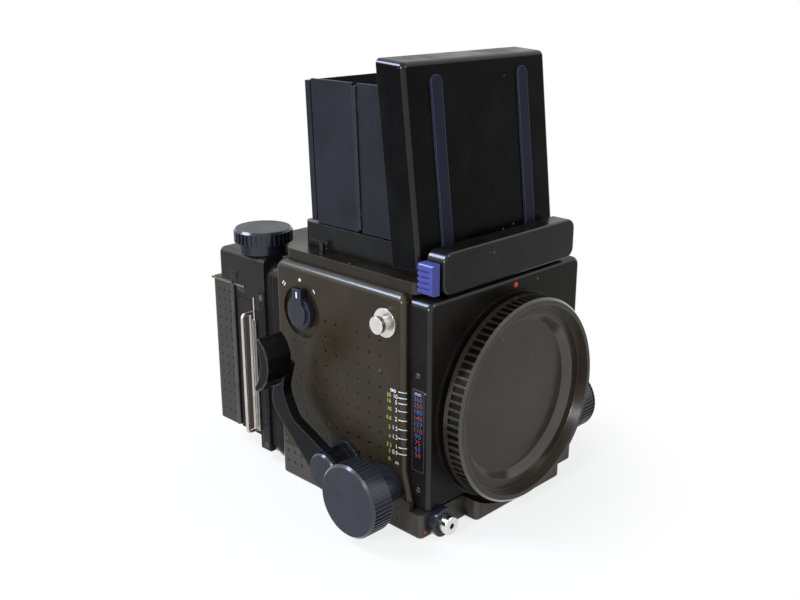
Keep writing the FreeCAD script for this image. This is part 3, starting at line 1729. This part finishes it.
def magnifier_frame():
    """The flip-up magnifier's frame, stowed against the inside of the lid."""
    y, z = lid_place(MAGNIFIER_AXIS, MAGNIFIER_HEIGHT)
    body = new_body("magnifier_frame", at=(0, y, z), lean=d.lid_lean)
    half = d.magnifier_half_width
    front = -d.magnifier_barrel_radius
    rear = front + d.magnifier_plate
    low = -d.magnifier_length
    lens_height = low + half
    window = circle(0, lens_height, d.magnifier_lens_radius)
    pad(body, "XZ", front, rear, box(-half, low, half, 0), window)
    corners = [edges_at("Y", x=side, z=low) for side in (-half, half)]
    round_off(body, d.magnifier_corner_radius, *corners)
    pad(body, "YZ", -half, half, circle(0, 0, d.magnifier_barrel_radius))
    pin_half = half + d.magnifier_stand_off + d.magnifier_ear_width
    pad(body, "YZ", -pin_half, pin_half, circle(0, 0, d.hinge_pin_radius))
    return body


def magnifier_lens():
    """The round lens in the magnifier's frame."""
    y, z = lid_place(MAGNIFIER_AXIS, MAGNIFIER_HEIGHT)
    body = new_body("magnifier_lens", at=(0, y, z), lean=d.lid_lean)
    inset = d.magnifier_lens_inset
    front = inset - d.magnifier_barrel_radius
    rear = d.magnifier_plate - d.magnifier_barrel_radius - inset
    lens_height = d.magnifier_half_width - d.magnifier_length
    pad(body, "XZ", front, rear, circle(0, lens_height, d.magnifier_lens_radius))
    return body


# Reflex mirror


def mirror_holder():
    """The mirror's carrier on two short trunnions at its upper rear edge."""
    at = (0, d.mirror_hinge_y, d.mirror_hinge_height)
    body = new_body("mirror_holder", at=at, lean=d.mirror_angle)
    half = d.mirror_half_width
    outline = box(-half, -MIRROR_LENGTH, half, 0)
    pad(body, "XZ", 0, d.mirror_holder_thickness, outline)
    pin_reach = CHAMBER_SIDE + d.mirror_pin_length
    pad(body, "YZ", -pin_reach, pin_reach, circle(0, 0, d.mirror_pin_radius))
    return body


def mirror_glass():
    """The mirror on the upper face of its carrier."""
    at = (0, d.mirror_hinge_y, d.mirror_hinge_height)
    body = new_body("mirror_glass", at=at, lean=d.mirror_angle)
    margin = d.mirror_margin
    half = d.mirror_half_width - margin
    outline = box(-half, margin - MIRROR_LENGTH, half, -margin)
    pad(body, "XZ", -d.mirror_glass_thickness, 0, outline)
    return body


# Revolving adapter


def revolving_adapter():
    """The square plate between body and film back that turns about the lens axis."""
    body = new_body("revolving_adapter")
    half = d.adapter_half_width
    front = d.rear_reach + d.adapter_play
    window_half = d.adapter_window / 2
    window = box(
        -window_half, d.axis_height - window_half, window_half, d.axis_height + window_half
    )
    step = d.adapter_step
    for low, high, drawn_in in (
        (front, d.adapter_step_reach, 0),
        (d.adapter_step_reach, d.adapter_rear, step),
    ):
        side = half - drawn_in
        bottom = d.adapter_bottom + drawn_in
        top = d.adapter_top - drawn_in
        corner = d.adapter_corner_radius - drawn_in
        pad(body, "XZ", low, high, rounded(-side, bottom, side, top, corner))

    def band_rims(edge):
        bounds = edge.BoundBox
        return bounds.YLength < 0.01 and abs(bounds.YMin - front.value) < 0.01

    round_off(body, d.adapter_edge_radius, band_rims)
    cut(body, "XZ", front, d.adapter_rear, window)
    return body


def adapter_ring():
    """The steel bearing ring in the body's round seat."""
    at = (0, d.rear_reach + d.adapter_play, d.axis_height)
    body = new_body("adapter_ring", at=at, towards=(0, -1, 0))
    inner = d.adapter_ring_radius - d.adapter_ring_wall
    depth = d.adapter_ring_depth + d.adapter_play
    pad(body, "XY", 0, depth, circle(0, 0, d.adapter_ring_radius), circle(0, 0, inner))
    return body


# Film back


def back_shell():
    """The film back's frame: slide frame, gate wall, film room and winding block."""
    body = new_body("back_shell")
    half = d.back_half_width
    frame = box(-half, d.back_frame_bottom, half, d.back_top)
    pad(body, "XZ", d.back_front, d.back_frame_rear, frame)
    upper = box(-half, d.back_shoulder, half, d.back_top)
    pad(body, "XZ", d.back_frame_rear, d.back_upper_rear, upper)
    lower = box(-half, d.back_bottom, half, d.back_shoulder)
    pad(body, "XZ", d.back_frame_rear, d.back_split, lower)
    rear_edge = edges_at("X", y=d.back_upper_rear, z=d.back_top)
    rear_sides = [
        edges_at("Z", x=side, y=d.back_upper_rear) for side in (-half, half)
    ]

    def top_side(edge):
        middle = edge.CenterOfMass
        return (
            is_along(edge, "Y")
            and abs(abs(middle.x) - half.value) < 0.01
            and abs(middle.z - d.back_top.value) < 0.01
        )

    round_off(body, d.back_edge_radius, top_side, rear_edge, *rear_sides)
    room_side = d.film_room_half_width
    low, high = d.back_bottom + d.back_wall, d.back_shoulder - d.back_wall
    room = box(-room_side, low, room_side, high)
    cut(body, "XZ", d.gate_wall_rear, d.back_split, room)
    gate = box(-d.gate_half_width, d.gate_bottom, d.gate_half_width, d.gate_top)
    cut(body, "XZ", d.back_front, d.gate_wall_rear, gate)
    play = d.slide_play
    slot_front = d.slide_setback - play
    slot_rear = d.slide_setback + d.slide_thickness + play
    slide_slot = box(-half, slot_front, d.slide_reach + play, slot_rear)
    cut(body, "XY", d.slide_bottom - play, d.slide_top + play, slide_slot)
    winder_bore = circle(-d.winder_offset, d.winder_setback, d.spindle_radius + SHAFT_PLAY)
    cut(body, "XY", d.back_shoulder, d.back_top, winder_bore)
    groove = circle(DOOR_HINGE_X, DOOR_HINGE_Y, d.door_hinge_radius + d.door_hinge_play)
    cut(body, "XY", d.back_bottom, d.back_shoulder, groove)
    return body


def back_door():
    """The film door: a hollow tray with rounded rear edges."""
    body = new_body("back_door")
    half = d.back_half_width
    front = d.back_split + d.door_gap
    top = d.back_shoulder - d.door_gap
    outline = box(-half, d.back_bottom, half, top)
    pad(body, "XZ", front, d.back_door_rear, outline)

    def rear_rim(edge):
        bounds = edge.BoundBox
        return bounds.YLength < 0.01 and abs(bounds.YMin - d.back_door_rear.value) < 0.01

    round_off(body, d.back_door_radius, rear_rim)
    room_side = d.film_room_half_width
    room = box(-room_side, d.back_bottom + d.back_wall, room_side, top - d.back_wall)
    cut(body, "XZ", front, d.back_door_rear - d.back_wall, room)
    groove = circle(DOOR_HINGE_X, DOOR_HINGE_Y, d.door_hinge_radius + d.door_hinge_play)
    cut(body, "XY", d.back_bottom, top, groove)
    return body


def door_hinge():
    """The door's slim hinge pin in the seam."""
    body = new_body("door_hinge", at=(DOOR_HINGE_X, DOOR_HINGE_Y, d.back_bottom))
    top = d.back_shoulder - d.back_bottom - d.door_hinge_margin
    pad(body, "XY", d.door_hinge_margin, top, circle(0, 0, d.door_hinge_radius))
    return body


def door_latch():
    """The latch slide of the film door on the side away from the dark slide."""
    body = new_body("door_latch")
    middle = (d.back_bottom + d.back_shoulder) / 2
    half_length = d.latch_length / 2
    low_y = d.back_split + d.door_gap + d.latch_margin
    inner = d.back_half_width + d.latch_gap
    outline = box(
        low_y, middle - half_length, low_y + d.latch_width, middle + half_length
    )
    pad(body, "YZ", inner, inner + d.latch_thickness, outline)
    return body


def film_spool(label, side):
    """A roll-film spool: slim core between two flanges."""
    at = (d.spool_offset * side, d.spool_setback, d.spool_bottom)
    body = new_body(label, at=at)
    flange = d.spool_flange_thickness
    turn(
        body,
        [
            (0, 0),
            (d.spool_flange_radius, 0),
            (d.spool_flange_radius, flange),
            (d.spool_core_radius, flange),
            (d.spool_core_radius, d.spool_length - flange),
            (d.spool_flange_radius, d.spool_length - flange),
            (d.spool_flange_radius, d.spool_length),
            (0, d.spool_length),
        ],
    )
    return body


def pressure_plate():
    """The flat plate behind the film gate, held at its top and bottom ends."""
    body = new_body("pressure_plate")
    front = d.gate_wall_rear + d.film_gap
    half = d.film_carrier_half_width
    low = d.back_bottom + d.back_wall
    high = d.back_shoulder - d.back_wall
    outline = box(-half, low, half, high)
    pad(body, "XZ", front, front + d.pressure_plate_thickness, outline)
    return body


def winding_knob():
    """The film back's knurled winding knob on its collar."""
    at = (-d.winder_offset, d.winder_setback, d.back_top)
    body = new_body("winding_knob", at=at)
    gap = d.knob_gap
    top = d.winder_top - d.back_top
    grip = top - d.winder_grip
    chamfer = d.knob_chamfer
    turn(
        body,
        [
            (0, -d.winder_spindle_depth),
            (d.spindle_radius, -d.winder_spindle_depth),
            (d.spindle_radius, gap),
            (d.winder_collar_radius, gap),
            (d.winder_collar_radius, grip),
            (d.winder_radius, grip),
            (d.winder_radius, top - chamfer),
            (d.winder_radius - chamfer, top),
            (0, top),
        ],
    )
    knurl(
        body,
        d.winder_radius,
        grip,
        top - chamfer,
        d.knob_knurl_width,
        d.knob_knurl_depth,
        d.winder_knurl_count,
    )
    return body


# Dark slide


def dark_slide():
    """The thin sheet in front of the film, with its bent end tab."""
    body = new_body("dark_slide")
    outer = -d.back_half_width - d.slide_play
    outline = box(outer, d.slide_bottom, d.slide_reach, d.slide_top)
    pad(body, "XZ", d.slide_setback, d.slide_setback + d.slide_thickness, outline)
    middle = d.slide_setback + d.slide_thickness / 2
    half = d.slide_tab_depth / 2
    tab = box(middle - half, d.slide_tab_bottom, middle + half, d.slide_tab_top)
    pad(body, "YZ", outer - d.slide_tab_thickness, outer, tab)
    return body


def slide_handle():
    """The wire loop on the dark slide's end."""
    outer = d.back_half_width + d.slide_play + d.slide_tab_thickness
    y = d.slide_setback + d.slide_thickness / 2
    body = new_body("slide_handle", at=(-outer, y, 0))
    radius = d.loop_wire_radius
    reach = d.loop_reach - radius
    low = d.loop_bottom + radius
    high = d.loop_top - radius
    route = draw_bail(body, reach, low, high, d.loop_bend)
    pipe = body.newObject("PartDesign::AdditivePipe", "Pipe")
    pipe.Profile = draw(body, "YZ", 0, [circle(0, low, radius)])
    pipe.Spine = route
    body.Tip = pipe
    inner_wire = circle(-d.loop_inner_radius - d.loop_gap, 0, d.loop_inner_radius)
    pad(body, "XY", low, high, inner_wire)
    return body


def draw_bail(body, reach, low, high, bend):
    """The loop's open path: out, up and back, with two tangent bends."""
    sketch = body.newObject("Sketcher::SketchObject", "Route")
    sketch.AttachmentSupport = (origin_feature(body, "XZ_Plane"), [""])
    sketch.MapMode = "FlatFace"
    far, near = -reach, bend - reach
    corner_low, corner_high = low + bend, high - bend
    zero = as_size(0)
    lower = Part.Circle(at_sizes(near, corner_low), AXES["Z"], bend.value)
    upper = Part.Circle(at_sizes(near, corner_high), AXES["Z"], bend.value)
    ids = [
        sketch.addGeometry(Part.LineSegment(at_sizes(zero, low), at_sizes(near, low))),
        sketch.addGeometry(Part.ArcOfCircle(lower, math.pi, 1.5 * math.pi)),
        sketch.addGeometry(
            Part.LineSegment(at_sizes(far, corner_low), at_sizes(far, corner_high))
        ),
        sketch.addGeometry(Part.ArcOfCircle(upper, 0.5 * math.pi, math.pi)),
        sketch.addGeometry(Part.LineSegment(at_sizes(near, high), at_sizes(zero, high))),
    ]
    joints = [(0, 2, 1, 2), (1, 1, 2, 1), (2, 2, 3, 2), (3, 1, 4, 1)]
    for first, end, second, start in joints:
        rule = Sketcher.Constraint("Coincident", ids[first], end, ids[second], start)
        sketch.addConstraint(rule)
    pin_point(sketch, ids[0], 1, zero, low)
    pin_point(sketch, ids[0], 2, near, low)
    pin(sketch, "DistanceX", ids[1], 3, near)
    pin_point(sketch, ids[2], 1, far, corner_low)
    pin_point(sketch, ids[2], 2, far, corner_high)
    pin(sketch, "DistanceX", ids[3], 3, near)
    pin_point(sketch, ids[4], 1, near, high)
    pin_point(sketch, ids[4], 2, zero, high)
    return sketch


def build():
    """Makes every sub-part."""
    main_body()
    right_cover()
    left_cover()
    base_cover()
    foot_nose()
    tripod_socket()
    battery_cover()
    strap_lug("strap_lug_right", -1)
    strap_lug("strap_lug_left", 1)
    accessory_shoe()
    front_standard()
    mount_boss()
    mount_ring()
    body_cap()
    bellows()
    for name, side in (("right", -1), ("left", 1)):
        focus_rack(f"focus_rack_{name}", side)
        focus_pinion(f"focus_pinion_{name}", side)
        focus_knob(f"focus_knob_{name}", side)
        wall_half(f"wall_front_{name}", side, True)
        wall_half(f"wall_rear_{name}", side, False)
        wall_hinge(f"wall_hinge_{name}", side)
        hood_post(f"hood_post_{name}", side)
    focus_shaft()
    lever_pivot()
    cocking_lever()
    lever_cap()
    mode_selector()
    shutter_dial()
    release_collar()
    release_button()
    finder_plate()
    focusing_screen()
    name_housing()
    finder_release_button()
    hood_base()
    hood_lid()
    hood_rear_panel()
    magnifier_frame()
    magnifier_lens()
    mirror_holder()
    mirror_glass()
    revolving_adapter()
    adapter_ring()
    back_shell()
    back_door()
    door_hinge()
    door_latch()
    film_spool("supply_spool", 1)
    film_spool("take_up_spool", -1)
    pressure_plate()
    winding_knob()
    dark_slide()
    slide_handle()


def check():
    """Stops if any object failed, any cut removed nothing or any solid is broken."""
    doc.recompute()
    for item in doc.Objects:
        if {"Invalid", "Error"} & set(item.State):
            owner = item.getParentGeoFeatureGroup()
            place = owner.Label if owner else "the document"
            raise RuntimeError(f"{item.Name} of {place} failed: {item.State}")
    for feature in cuts:
        before = feature.BaseFeature.Shape.Volume
        if feature.Shape.Volume > before - 0.001:
            raise RuntimeError(f"{feature.Name} cuts nothing")
    for body in sub_parts:
        shape = body.Shape
        if shape.isNull() or not shape.isValid() or not shape.Solids:
            raise RuntimeError(f"{body.Label} has no valid solid")


def write():
    """Writes each sub-part to its own STEP file."""
    os.makedirs("parts", exist_ok=True)
    for body in sub_parts:
        body.Shape.exportStep(f"parts/{body.Label}.step")


build()
check()
write()
print(f"{len(sub_parts)} sub-parts written")
